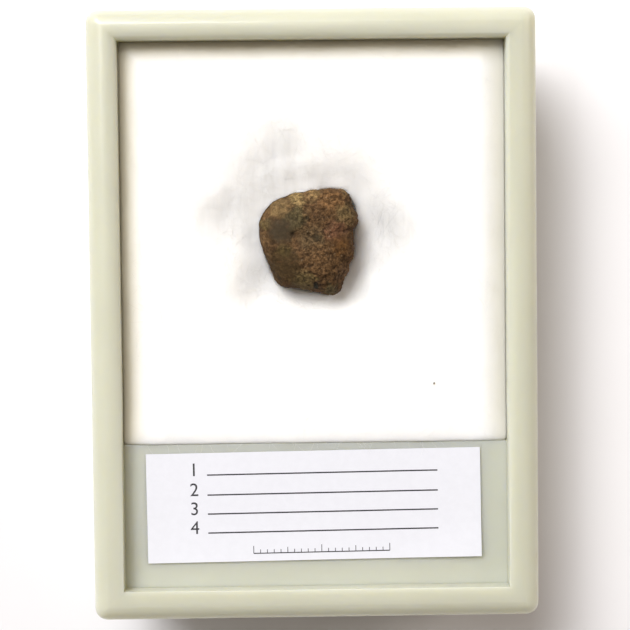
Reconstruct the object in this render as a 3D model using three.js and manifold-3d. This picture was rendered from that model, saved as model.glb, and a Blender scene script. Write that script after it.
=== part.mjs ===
// A chondrite meteorite on a pad of cotton wadding in a shallow moulded specimen case, with a paper
// label on the shelf beside it. Millimetres, +Z up; the long side of the case runs along Y, the
// label lies at its -Y end and the origin is the middle of the underside.
import * as THREE from "three";
import Module from "manifold-3d";
import { mergeVertices } from "three/addons/utils/BufferGeometryUtils.js";

const CASE = { width: 65, length: 88.6, height: 20, rail: 4.4, wall: 2, floor: 2, corner: 1.6 };
const SHELF = { top: 16.8, edgeY: -18.7, thickness: 2 };
const LABEL = { width: 49, height: 16.1, thickness: 0.2, x: -0.3, y: -28, turn: 0.55, lift: 0.1 };
const PAD = { clearance: 0.45, bottom: 2.3, top: 17.1, edge: 2.8, corner: 3.2 };
const STONE = { x: -0.75, y: 10.57, z: 15.5, detail: 12, hardness: 12, clearance: 1.05 };

const RAIL_RADIUS = CASE.rail / 2;
const RAIL_Z = CASE.height - RAIL_RADIUS;
const INNER = { x: CASE.width / 2 - CASE.rail, y: CASE.length / 2 - CASE.rail };
const OUTER = { x: INNER.x + CASE.wall, y: INNER.y + CASE.wall };

// The stone's faces: the way each one looks (compass angle from +X and slope above the horizon, in
// degrees) and how far it lies from the stone's centre.
const STONE_FACES = [
  // flanks, going round from the right
  [12, 2, 8.0], [52, 4, 9.6], [98, 0, 7.35], [139, 4, 8.35], [178, -2, 7.25],
  [200, 4, 6.8], [238, -6, 8.1], [263, 8, 6.95], [298, -4, 9.9], [336, 0, 6.95], [354, 2, 7.1],
  // bevels between the flanks and the top
  [112, 48, 6.4], [165, 42, 6.7], [50, 50, 7.9], [354, 48, 6.8], [318, 36, 7.5], [264, 50, 6.5], [214, 46, 6.4],
  // the top, leaning a little to the right, and the hidden underside
  [20, 82, 4.75], [200, 78, 4.9],
  [40, -50, 6.8], [130, -46, 6.8], [215, -52, 6.4], [310, -48, 6.9], [250, -86, 5.0],
];
// Smooth thumb-print hollows and bumps: direction, width and depth (bumps are negative).
const STONE_DENTS = [
  [158, 62, 26, 0.75], [262, 30, 18, 0.35], [326, 30, 15, 0.4], [75, 55, 20, 0.25],
  [12, 0, 11, 0.45], [32, 2, 12, -0.35], [300, 8, 12, -0.2], [240, -40, 30, 0.5],
];
// Places where the wadding is pressed in: centre, half extents and depth.
const PAD_DENTS = [
  [-0.75, 10.6, 10.5, 11, 1.5], [-6, 22.6, 5.2, 5.5, 0.55], [-11.3, 14.6, 3.8, 3.4, 0.5],
  [-8.6, 3.4, 2.6, 4, 0.45], [10.4, 12.2, 3.2, 5, 0.45],
];

const wasm = await Module();
wasm.setup();

/** A closed geometry as a solid that can be joined and cut. */
function solid(geometry) {
  const bare = geometry.clone();
  bare.deleteAttribute("normal");
  bare.deleteAttribute("uv");
  const merged = mergeVertices(bare, 1e-4);
  return new wasm.Manifold(new wasm.Mesh({
    numProp: 3,
    vertProperties: new Float32Array(merged.attributes.position.array),
    triVerts: new Uint32Array(merged.index.array),
  }));
}

/** A solid back as a geometry. */
function geometryOf(body) {
  const mesh = body.getMesh();
  const geometry = new THREE.BufferGeometry();
  geometry.setAttribute("position", new THREE.BufferAttribute(mesh.vertProperties, 3));
  geometry.setIndex(new THREE.BufferAttribute(mesh.triVerts, 1));
  geometry.computeVertexNormals();
  return geometry;
}

function box(x0, x1, y0, y1, z0, z1) {
  const geometry = new THREE.BoxGeometry(x1 - x0, y1 - y0, z1 - z0);
  return geometry.translate((x0 + x1) / 2, (y0 + y1) / 2, (z0 + z1) / 2);
}

/** A flat rectangle with round corners, centred on x, y. */
function roundedRectangle(x, y, halfX, halfY, radius) {
  const shape = new THREE.Shape();
  shape.moveTo(x + halfX, y - halfY + radius);
  shape.lineTo(x + halfX, y + halfY - radius);
  shape.absarc(x + halfX - radius, y + halfY - radius, radius, 0, Math.PI / 2);
  shape.absarc(x - halfX + radius, y + halfY - radius, radius, Math.PI / 2, Math.PI);
  shape.absarc(x - halfX + radius, y - halfY + radius, radius, Math.PI, 1.5 * Math.PI);
  shape.absarc(x + halfX - radius, y - halfY + radius, radius, 1.5 * Math.PI, 2 * Math.PI);
  return shape;
}

/** One rail of the rim, lying along X or Y, with a ball at its far end for the corner. */
function rail(alongX, side) {
  const reach = { x: CASE.width / 2 - RAIL_RADIUS, y: CASE.length / 2 - RAIL_RADIUS };
  const length = 2 * (alongX ? reach.x : reach.y);
  const rod = new THREE.CylinderGeometry(RAIL_RADIUS, RAIL_RADIUS, length, 32);
  if (alongX) rod.rotateZ(Math.PI / 2);
  rod.translate(alongX ? 0 : side * reach.x, alongX ? side * reach.y : 0, RAIL_Z);
  const ball = new THREE.SphereGeometry(RAIL_RADIUS, 32, 16);
  ball.rotateX(Math.PI / 2);
  ball.translate(side * reach.x, (alongX ? 1 : -1) * side * reach.y, RAIL_Z);
  return solid(rod).add(solid(ball));
}

/** The moulding: walls that turn outward into the half-round rim, a floor and the hollow shelf. */
function buildCase() {
  const walls = new THREE.ExtrudeGeometry(roundedRectangle(0, 0, OUTER.x, OUTER.y, CASE.corner),
    { depth: RAIL_Z, bevelEnabled: false, curveSegments: 6 });
  let rim = rail(true, 1).add(rail(true, -1)).add(rail(false, 1)).add(rail(false, -1));
  rim = rim.subtract(solid(box(-CASE.width, CASE.width, -CASE.length, CASE.length, 0, RAIL_Z)));
  const pocket = box(-INNER.x, INNER.x, SHELF.edgeY, INNER.y, CASE.floor, CASE.height + 1);
  const recess = box(-INNER.x, INNER.x, -INNER.y, SHELF.edgeY + 1, SHELF.top, CASE.height + 1);
  const underShelf = box(-INNER.x, INNER.x, -INNER.y, SHELF.edgeY - SHELF.thickness, -1, SHELF.top - SHELF.thickness);
  return geometryOf(solid(walls).add(rim).subtract(solid(pocket)).subtract(solid(recess))
    .subtract(solid(underShelf)));
}

/** Unit vector from a compass angle and a slope above the horizon, both in degrees. */
function direction(azimuth, slope) {
  const a = THREE.MathUtils.degToRad(azimuth);
  const s = THREE.MathUtils.degToRad(slope);
  return new THREE.Vector3(Math.cos(s) * Math.cos(a), Math.cos(s) * Math.sin(a), Math.sin(s));
}

/** How far the stone's skin lies from its centre, looking along u. */
function stoneRadius(u) {
  let sum = 0;
  for (const [azimuth, slope, distance] of STONE_FACES) {
    const facing = u.dot(direction(azimuth, slope)) / distance;
    if (facing > 0) sum += facing ** STONE.hardness;
  }
  let radius = sum ** (-1 / STONE.hardness);
  for (const [azimuth, slope, width, depth] of STONE_DENTS) {
    const off = THREE.MathUtils.radToDeg(u.angleTo(direction(azimuth, slope)));
    radius -= depth * Math.exp(-((off / width) ** 2));
  }
  return radius;
}

/** The stone, or a larger copy of it for the hollow that it has pressed into the wadding. */
function buildStone(detail, scale) {
  const geometry = mergeVertices(new THREE.IcosahedronGeometry(1, detail).deleteAttribute("uv")
    .deleteAttribute("normal"), 1e-5);
  const position = geometry.attributes.position;
  const u = new THREE.Vector3();
  for (let i = 0; i < position.count; i++) {
    u.fromBufferAttribute(position, i).normalize();
    u.multiplyScalar(scale * stoneRadius(u));
    position.setXYZ(i, STONE.x + u.x, STONE.y + u.y, STONE.z + u.z);
  }
  geometry.computeVertexNormals();
  return geometry;
}

/** How deep the wadding is pressed in at x, y. */
function padDepth(x, y) {
  let depth = 0;
  for (const [cx, cy, halfX, halfY, d] of PAD_DENTS) {
    depth += d * Math.exp(-1.6 * (((x - cx) / halfX) ** 2 + ((y - cy) / halfY) ** 2));
  }
  return depth;
}

/** The wadding: rings from the stone out to the pad's outline, over its round edge and back below. */
function buildPad() {
  const halfX = INNER.x - PAD.clearance;
  const y0 = SHELF.edgeY + PAD.clearance;
  const y1 = INNER.y - PAD.clearance;
  const sides = roundedRectangle(0, (y0 + y1) / 2, halfX, (y1 - y0) / 2, PAD.corner).curves
    .filter((curve) => curve.getLength() > 0.01);
  sides.push(new THREE.LineCurve(sides.at(-1).getPoint(1), sides[0].getPoint(0)));
  const outline = sides.filter((curve) => curve.getLength() > 0.01)
    .flatMap((curve) => curve.getPoints(curve.isLineCurve ? 12 : 6).slice(0, -1));
  const around = outline.length;
  const rings = [];
  for (let i = 0; i <= 12; i++) rings.push({ share: i / 12, inset: PAD.edge, z: PAD.top });
  for (const angle of [68, 45, 22, 0]) {
    const a = THREE.MathUtils.degToRad(angle);
    rings.push({ share: 1, inset: PAD.edge * (1 - Math.cos(a)), z: PAD.top - PAD.edge * (1 - Math.sin(a)) });
  }
  rings.push({ share: 1, inset: 0, z: PAD.bottom + 1 }, { share: 1, inset: 0.4, z: PAD.bottom });
  rings.push({ share: 0, inset: 0, z: PAD.bottom });
  const geometry = new THREE.SphereGeometry(1, around, rings.length - 1);
  const position = geometry.attributes.position;
  for (let r = 0; r < rings.length; r++) {
    for (let j = 0; j <= around; j++) {
      const { share, inset, z } = rings[r];
      const edge = outline[j % around];
      const reach = Math.hypot(edge.x - STONE.x, edge.y - STONE.y);
      const t = share * (1 - inset / reach);
      const x = STONE.x + t * (edge.x - STONE.x);
      const y = STONE.y + t * (edge.y - STONE.y);
      const pressed = z > PAD.bottom + 1 ? padDepth(x, y) : 0;
      position.setXYZ(r * (around + 1) + j, x, y, z - pressed);
    }
  }
  return geometryOf(solid(geometry).subtract(solid(buildStone(8, STONE.clearance))));
}

/** The label: a thin card lying on the shelf, turned a little. */
function buildLabel() {
  const geometry = new THREE.BoxGeometry(LABEL.width, LABEL.height, LABEL.thickness, 12, 4, 1);
  geometry.deleteAttribute("uv").deleteAttribute("normal");
  const card = mergeVertices(geometry, 1e-5);
  card.rotateZ(THREE.MathUtils.degToRad(LABEL.turn));
  card.translate(LABEL.x, LABEL.y, SHELF.top + LABEL.lift + LABEL.thickness / 2);
  card.computeVertexNormals();
  return card;
}

function piece(name, geometry, color, roughness) {
  const mesh = new THREE.Mesh(geometry, new THREE.MeshStandardMaterial({ color, roughness, metalness: 0 }));
  mesh.name = name;
  return mesh;
}

const specimen = new THREE.Group();
specimen.name = "meteorite_in_case";
specimen.add(
  piece("case", buildCase(), "#d9d6c2", 0.38),
  piece("cotton_pad", buildPad(), "#f7f6f3", 0.95),
  piece("meteorite", buildStone(STONE.detail, 1), "#6f5841", 0.8),
  piece("paper_label", buildLabel(), "#f4f2f6", 0.6),
);

export default specimen;
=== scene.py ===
"""A chondrite meteorite on cotton wadding in a shallow ivory specimen case, with its paper label."""

import bisect
import math
import random

import bmesh
import bpy
from bpy.props import FloatProperty, FloatVectorProperty, IntProperty, PointerProperty
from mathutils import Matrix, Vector, noise
from mathutils.bvhtree import BVHTree


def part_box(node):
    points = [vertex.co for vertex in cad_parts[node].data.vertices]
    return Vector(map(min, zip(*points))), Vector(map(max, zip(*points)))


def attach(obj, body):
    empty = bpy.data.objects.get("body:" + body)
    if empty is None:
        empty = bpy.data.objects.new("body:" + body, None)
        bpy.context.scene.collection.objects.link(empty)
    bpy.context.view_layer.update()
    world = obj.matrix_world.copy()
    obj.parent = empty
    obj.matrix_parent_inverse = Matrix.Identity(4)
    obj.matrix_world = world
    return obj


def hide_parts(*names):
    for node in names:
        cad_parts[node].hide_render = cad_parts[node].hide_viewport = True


bl_info = {
    "name": "Boxed Chondrite",
    "version": (1, 0, 0),
    "blender": (4, 5, 0),
    "location": "View3D > Sidebar > Specimen",
    "description": "Builds a boxed chondrite: case, wadding, stone, label and studio",
    "category": "Add Mesh",
}

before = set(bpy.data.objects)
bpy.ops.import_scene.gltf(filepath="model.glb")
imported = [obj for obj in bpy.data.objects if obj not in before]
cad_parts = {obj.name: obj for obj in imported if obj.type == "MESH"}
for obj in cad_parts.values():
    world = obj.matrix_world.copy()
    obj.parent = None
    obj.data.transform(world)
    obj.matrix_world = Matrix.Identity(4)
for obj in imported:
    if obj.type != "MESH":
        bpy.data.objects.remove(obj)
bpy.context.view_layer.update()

MM = 0.001
CASE_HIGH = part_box("case")[1]
PAD_LOW, PAD_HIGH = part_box("cotton_pad")
LABEL_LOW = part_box("paper_label")[0]
RAIL = 4.4 * MM
DOWN = Vector((0, 0, -1))
# The stone's middle as it is seen from above; marks on the stone are placed from here.
STONE_MIDDLE = Vector((-0.75, 10.57, 15.5)) * MM


def length(name, description, default):
    """A length in metres that a user may change."""
    return FloatProperty(name=name, description=description, default=default, min=0.0, unit="LENGTH",
                         subtype="DISTANCE", precision=5)


def colour(name, description, default):
    """A linear colour that a user may change."""
    return FloatVectorProperty(name=name, description=description, default=default, size=3, min=0.0,
                               max=1.0, subtype="COLOR")


# How square the rim's corners are in plan: 2 is round, and more is squarer.
CORNER_POWER = 2.5


class CaseSettings(bpy.types.PropertyGroup):
    """The ivory moulding."""
    rail: length("Rail width", "Width of the arched rail round the rim", RAIL)
    wall: length("Wall", "Thickness of the walls below the rim", 2.0 * MM)
    floor: length("Floor", "Thickness of the floor below the wadding", 2.0 * MM)
    shelf_top: length("Shelf height", "Height of the label shelf above the underside", 16.8 * MM)
    shelf_edge: length("Shelf edge", "Distance of the shelf's edge from the middle", 18.7 * MM)
    shelf: length("Shelf thickness", "Thickness of the label shelf and its riser", 2.0 * MM)
    plastic: colour("Plastic", "Colour of the moulding", (0.546, 0.557, 0.473))


class CottonSettings(bpy.types.PropertyGroup):
    """The pad of wadding and its loose fibres."""
    voxel: length("Grain", "Size of the cells that the pad is remeshed with", 0.5 * MM)
    swell: length("Swell", "Height of the pad's broad lumps", 0.22 * MM)
    overlap: length("Overlap", "How far the pad bulges over the shelf's edge", 0.25 * MM)
    dip: length("Dip", "How far the pad dips beside the stone, on the side of its shadow", 3.6 * MM)
    drop: length("Drop", "How far the pad falls away towards the walls", 0.5 * MM)
    fibres: IntProperty(name="Fibres", description="Number of loose fibres", default=2600, min=0)
    fibre_radius: length("Fibre radius", "Radius of one loose fibre", 0.009 * MM)
    white: colour("Cotton", "Colour of the wadding", (0.93, 0.925, 0.915))


class StoneSettings(bpy.types.PropertyGroup):
    """The weathered chondrite."""
    grain: length("Grain", "Width of one of the knobs on the rough side", 0.52 * MM)
    relief: length("Relief", "Height of the knobs on the rough side", 0.12 * MM)
    crust: colour("Crust", "The stone's main brown", (0.078, 0.043, 0.019))


class LabelSettings(bpy.types.PropertyGroup):
    """The paper label with its generic ruling."""
    thickness: length("Paper", "Thickness of the paper", 0.12 * MM)
    curl: length("Curl", "How far the label's loose corners lift", 0.22 * MM)
    turn: FloatProperty(name="Turn", description="How far the label is turned on its shelf",
                        default=math.radians(0.55), subtype="ANGLE", unit="ROTATION")
    paper: colour("Paper colour", "Colour of the paper", (0.740, 0.752, 0.815))
    ink: colour("Ink", "Colour of the ruling and the figures", (0.022, 0.021, 0.026))


class StudioSettings(bpy.types.PropertyGroup):
    """Camera, floor and lights."""
    key: FloatProperty(name="Key light", description="Power of the large light", default=18.5, min=0.0,
                       unit="POWER")
    sky: FloatProperty(name="Sky", description="Strength of the even light", default=0.18, min=0.0)
    backdrop: colour("Floor", "Colour of the floor", (0.87, 0.865, 0.89))


def select_only(piece):
    """Makes one object the active and only selected one, in object mode."""
    if bpy.context.object and bpy.context.object.mode != "OBJECT":
        bpy.ops.object.mode_set(mode="OBJECT")
    bpy.ops.object.select_all(action="DESELECT")
    if piece:
        piece.select_set(True)
        bpy.context.view_layer.objects.active = piece


def pick(piece, kind, test):
    """In edit mode, selects just the vertices, edges or faces that pass the test."""
    bpy.ops.mesh.select_mode(type={"verts": "VERT", "edges": "EDGE", "faces": "FACE"}[kind])
    bpy.ops.mesh.select_all(action="DESELECT")
    shape = bmesh.from_edit_mesh(piece.data)
    chosen = [part for part in getattr(shape, kind) if test(part)]
    for part in chosen:
        part.select_set(True)
    bmesh.update_edit_mesh(piece.data)
    if not chosen:
        raise RuntimeError(f"nothing to select on {piece.name}")


def extrude(by):
    bpy.ops.mesh.extrude_region_move(TRANSFORM_OT_translate={"value": by})


def apply_modifier(piece, kind, **settings):
    """Adds a modifier and applies it."""
    modifier = piece.modifiers.new(kind.title(), kind)
    for key, value in settings.items():
        setattr(modifier, key, value)
    bpy.ops.object.modifier_apply(modifier=modifier.name)


def apply_place(piece):
    """Puts an object's place, turn and size into its mesh."""
    select_only(piece)
    bpy.ops.object.transform_apply(location=True, rotation=True, scale=True)


def edit_all(operation, **settings):
    """Runs one operation in edit mode on the whole of the active mesh."""
    bpy.ops.object.mode_set(mode="EDIT")
    bpy.ops.mesh.select_all(action="SELECT")
    operation(**settings)
    bpy.ops.object.mode_set(mode="OBJECT")


def linked(name, data):
    """A new object in the scene."""
    piece = bpy.data.objects.new(name, data)
    bpy.context.scene.collection.objects.link(piece)
    return piece


def copy_of_node(node, name):
    """A merged copy of a CAD node's mesh as a new object of its own."""
    piece = linked(name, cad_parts[node].data.copy())
    piece.data.materials.clear()
    select_only(piece)
    edit_all(bpy.ops.mesh.remove_doubles, threshold=1e-6)
    return piece


def finish_piece(piece, material, slot, *nodes):
    """Gives a piece its material and its body, and hides the nodes it stands for. The slot is not used."""
    piece.data.materials.clear()
    piece.data.materials.append(material)
    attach(piece, "root")
    if nodes:
        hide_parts(*nodes)


def rising(low, high, value):
    """0 below low, rising smoothly to 1 at high."""
    t = min(1.0, max(0.0, (value - low) / (high - low)))
    return t * t * (3.0 - 2.0 * t)


def fading(low, high, value):
    """1 below low, falling smoothly to 0 at high."""
    return 1.0 - rising(low, high, value)


def surface_of(piece):
    return BVHTree.FromObject(piece, bpy.context.evaluated_depsgraph_get())


def cast_down(surface, x, y):
    """Where a line down from 40 mm up at x, y meets a surface, and the way the surface faces there."""
    return surface.ray_cast(Vector((x, y, 0.04)), DOWN)[:2]


def squarer(x, y, power):
    """How far a point of a quarter circle is drawn out for a squarer corner; power 2 leaves it round."""
    reach = math.hypot(x, y)
    return ((x / reach) ** power + (y / reach) ** power) ** (-1 / power)


def reach_at(rays, angle):
    """The distance in one direction, from rays that are angles in order, each with its distance."""
    after = bisect.bisect(rays, (angle % math.tau,))
    (first, near), (second, far) = rays[after - 1], rays[after % len(rays)]
    share = ((angle - first) % math.tau) / max((second - first) % math.tau, 1e-9)
    return near + (far - near) * share


class Finish:
    """A node material and short ways to add to it. Patterns read Object coordinates, in metres."""

    def __init__(self, name, roughness):
        self.material = bpy.data.materials.new(name)
        self.material.use_nodes = True
        self.tree = self.material.node_tree
        self.shader = self.tree.nodes["Principled BSDF"]
        self.shader.inputs["Roughness"].default_value = roughness
        self.place = self.add("ShaderNodeTexCoord").outputs["Object"]

    def feed(self, socket, value):
        if isinstance(value, bpy.types.NodeSocket):
            self.tree.links.new(value, socket)
        else:
            socket.default_value = value

    def add(self, kind, inputs=None, **settings):
        node = self.tree.nodes.new(kind)
        for key, value in settings.items():
            setattr(node, key, value)
        for key, value in (inputs or {}).items():
            self.feed(node.inputs[key], value)
        return node

    def noise(self, size, detail=3.0, roughness=0.55, place=None):
        """Cloudy noise whose main features are size metres wide."""
        inputs = {"Vector": place or self.place, "Scale": 1.0 / size, "Detail": detail,
                  "Roughness": roughness}
        return self.add("ShaderNodeTexNoise", inputs).outputs["Fac"]

    def range(self, value, low, high, to_low=0.0, to_high=1.0):
        """Carries a value smoothly from one range over to another."""
        inputs = {"Value": value, "From Min": low, "From Max": high, "To Min": to_low, "To Max": to_high}
        return self.add("ShaderNodeMapRange", inputs, interpolation_type="SMOOTHSTEP").outputs["Result"]

    def number(self, operation, a, b):
        return self.add("ShaderNodeMath", {0: a, 1: b}, operation=operation).outputs["Value"]

    def vector(self, operation, a, b):
        """Vector arithmetic; b is a number for SCALE, and DISTANCE gives a number."""
        second = "Scale" if operation == "SCALE" else 1
        node = self.add("ShaderNodeVectorMath", {0: a, second: b}, operation=operation)
        return node.outputs["Value" if operation == "DISTANCE" else "Vector"]

    def times(self, a, b):
        return self.number("MULTIPLY", a, b)

    def plus(self, a, b):
        return self.number("ADD", a, b)

    def mix(self, share, a, b, blend="MIX"):
        """Mixes two colours."""
        node = self.add("ShaderNodeMix", data_type="RGBA", blend_type=blend)
        self.feed(node.inputs[0], share)
        for socket, value in ((node.inputs[6], a), (node.inputs[7], b)):
            self.feed(socket, value if isinstance(value, bpy.types.NodeSocket) else (*value, 1.0))
        return node.outputs[2]

    def bump(self, height, distance, strength=1.0, under=None):
        inputs = {"Height": height, "Distance": distance, "Strength": strength}
        if under:
            inputs["Normal"] = under
        return self.add("ShaderNodeBump", inputs).outputs["Normal"]

    def near(self, centre, inner, outer, place):
        """1 within inner metres of a point, falling to 0 at outer."""
        return self.range(self.vector("DISTANCE", place, centre), inner, outer, 1.0, 0.0)

    def set(self, **sockets):
        """Feeds the shader's own sockets and gives the material back."""
        for key, value in sockets.items():
            self.feed(self.shader.inputs[key.replace("_", " ")], value)
        return self.material


def scaled(tint, by):
    return tuple(min(1.0, c * by) for c in tint)


def moulded_plastic(tint):
    """Satin moulded plastic: a faint cloudiness in the colour, and a fine uneven gloss."""
    finish = Finish("moulded_plastic", 0.3)
    cloud = finish.noise(14 * MM, 4.0)
    base = finish.mix(finish.range(cloud, 0.35, 0.65), scaled(tint, 0.985), scaled(tint, 1.01))
    gloss = finish.range(finish.noise(4 * MM, 5.0), 0.3, 0.7, 0.34, 0.40)
    ripple = finish.bump(finish.noise(7 * MM, 2.0), 0.05 * MM, 0.2)
    grain = finish.bump(finish.noise(0.16 * MM, 3.0), 0.002 * MM, 0.3, ripple)
    finish.set(Subsurface_Weight=0.85, Subsurface_Radius=(1.0, 0.9, 0.6), Subsurface_Scale=5.0 * MM)
    return finish.set(Base_Color=base, Roughness=gloss, Normal=grain, Coat_Weight=0.30, Coat_Roughness=0.07)


# Radius of the body's upright corners and of the shelf's edge.
BODY_CORNER, SHELF_ROUND = 1.6 * MM, 0.35 * MM


def bevel(offset, segments):
    bpy.ops.mesh.bevel(offset=offset, segments=segments, profile=0.5, affect="EDGES", clamp_overlap=False)


def add_rim_shape(case, settings, inner, body):
    """The moulding, shaped from a block: lip, hollow, shelf, arched rail and the space below the shelf."""
    high, rail, lip = CASE_HIGH, settings.rail, settings.rail / 2
    edge = -settings.shelf_edge
    near = 1e-5

    bpy.ops.object.mode_set(mode="EDIT")
    pick(case, "faces", lambda f: f.normal.z > 0.9)
    extrude((0, 0, 0))
    bpy.ops.transform.resize(value=(high.x / body.x, high.y / body.y, 1), center_override=(0, 0, 0))
    extrude((0, 0, lip))

    def on_top(f):
        return f.normal.z > 0.9 and f.calc_center_median().z > high.z - near
    pick(case, "faces", on_top)
    bpy.ops.mesh.inset(thickness=rail, use_even_offset=True)
    bpy.ops.mesh.bisect(plane_co=(0, edge, 0), plane_no=(0, 1, 0), use_fill=False)

    def inside(f):
        place = f.calc_center_median()
        return f.normal.z > 0.9 and abs(place.x) < near and abs(place.y) < inner.y - near

    def on_rail(f):
        return on_top(f) and not inside(f)
    for across in ((1, 0, 0), (0, 1, 0)):
        pick(case, "faces", on_rail)
        bpy.ops.mesh.bisect(plane_co=(0, 0, 0), plane_no=across, use_fill=False)

    def mitre(e):
        a, b = (v.co for v in e.verts)
        return min(a.z, b.z) > high.z - near and abs(abs(a.x - b.x) - abs(a.y - b.y)) < near
    pick(case, "edges", mitre)
    bpy.ops.mesh.dissolve_edges(use_verts=False)
    pick(case, "faces", inside)
    extrude((0, 0, settings.shelf_top - high.z))
    pick(case, "faces", lambda f: inside(f) and f.calc_center_median().y > edge)
    extrude((0, 0, settings.floor - settings.shelf_top))

    def underside(f):
        return f.normal.z < -0.9 and abs(f.calc_center_median().z) < near
    pick(case, "faces", underside)
    bpy.ops.mesh.bisect(plane_co=(0, edge, 0), plane_no=(0, 1, 0), use_fill=False)
    pick(case, "faces", lambda f: underside(f) and f.calc_center_median().y < edge)
    bpy.ops.mesh.inset(thickness=settings.shelf, use_even_offset=True)
    extrude((0, 0, settings.shelf_top - settings.shelf))

    def upright(e):
        a, b = (v.co for v in e.verts)
        return abs(a.x - b.x) < near and abs(a.y - b.y) < near

    def corner(e, half):
        place = e.verts[0].co
        return upright(e) and abs(abs(place.x) - half.x) < near and abs(abs(place.y) - half.y) < near
    pick(case, "edges", lambda e: corner(e, Vector((high.x, high.y))))
    bevel(lip, 14)
    pick(case, "edges", lambda e: corner(e, body))
    bevel(BODY_CORNER, 8)

    def rim_edge(e):
        """An edge of the lip's top that runs round its outside or round the opening."""
        if min(v.co.z for v in e.verts) < high.z - near:
            return False
        return any(abs(f.normal.z) < 0.5 for f in e.link_faces)
    pick(case, "edges", rim_edge)
    # a touch less than half the rail, so that the two roundings don't meet
    bevel(lip * 0.995, 16)

    def shelf_rim(e):
        return all(abs(v.co.y - edge) < near and abs(v.co.z - settings.shelf_top) < near for v in e.verts)
    pick(case, "edges", shelf_rim)
    bevel(SHELF_ROUND, 5)
    bpy.ops.mesh.select_all(action="SELECT")
    bpy.ops.mesh.remove_doubles(threshold=1e-6)
    bpy.ops.mesh.normals_make_consistent(inside=False)
    bpy.ops.object.mode_set(mode="OBJECT")
    lower_rail(case, inner, rail)
    square_off_corners(case, Vector((high.x - lip, high.y - lip)), lip)


# The rail's section: how far from its inner edge it is highest, as a share of its width, the slope's reach
# beyond that edge, and how much lower that slope would end, at the far rail and at the label's.
CREST_SHARE, INNER_REACH, INNER_FALL, LABEL_FALL = 0.37, 1.07, 1.15 * MM, 0.12 * MM


def lower_rail(case, inner, rail):
    """Turns the rail's even half round into the flatter arch that it is, highest nearer to the opening."""
    lip = rail / 2
    foot = CASE_HIGH.z - lip
    for vertex in case.data.vertices:
        if vertex.co.z < foot + 0.005 * MM:
            continue
        x, y = abs(vertex.co.x) - inner.x, abs(vertex.co.y) - inner.y
        share = max(x, y) / rail
        if min(x, y) > lip:
            share = 0.5 + 0.5 * math.hypot(x - lip, y - lip) / lip
        if share > CREST_SHARE:
            off = min(1.0, (share - CREST_SHARE) / (1.0 - CREST_SHARE))
            vertex.co.z = foot + lip * math.sqrt(1.0 - off * off)
        else:
            off = min(1.0, (CREST_SHARE - share) / (CREST_SHARE * INNER_REACH))
            fall = INNER_FALL + (LABEL_FALL - INNER_FALL) * min(1.0, max(0.0, -vertex.co.y / inner.y))
            vertex.co.z = CASE_HIGH.z - fall * (1.0 - math.sqrt(1.0 - off * off))


def square_off_corners(case, middle, radius):
    """Draws the rim's round corners out a little, so that they turn more tightly than the rail is wide."""
    for vertex in case.data.vertices:
        x, y = abs(vertex.co.x) - middle.x, abs(vertex.co.y) - middle.y
        if x > 0 and y > 0 and vertex.co.z > CASE_HIGH.z - radius - 1e-5:
            grow = squarer(x, y, CORNER_POWER)
            vertex.co.x = math.copysign(middle.x + x * grow, vertex.co.x)
            vertex.co.y = math.copysign(middle.y + y * grow, vertex.co.y)


class SPECIMEN_OT_add_case(bpy.types.Operator):
    """Models the ivory case"""
    bl_idname = "specimen.add_case"
    bl_label = "Add Case"

    def execute(self, context):
        settings = context.scene.specimen_case
        inner = Vector((CASE_HIGH.x - settings.rail, CASE_HIGH.y - settings.rail))
        body = inner + Vector((settings.wall, settings.wall))
        body_top = CASE_HIGH.z - settings.rail / 2
        select_only(None)
        bpy.ops.mesh.primitive_cube_add(size=1, location=(0, 0, body_top / 2))
        case = context.object
        case.name = "case_moulding"
        case.scale = (2 * body.x, 2 * body.y, body_top)
        apply_place(case)
        add_rim_shape(case, settings, inner, body)
        bpy.ops.object.shade_smooth_by_angle(angle=math.radians(40))
        finish_piece(case, moulded_plastic(tuple(settings.plastic)), "case_plastic", "case")
        return {"FINISHED"}


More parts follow.
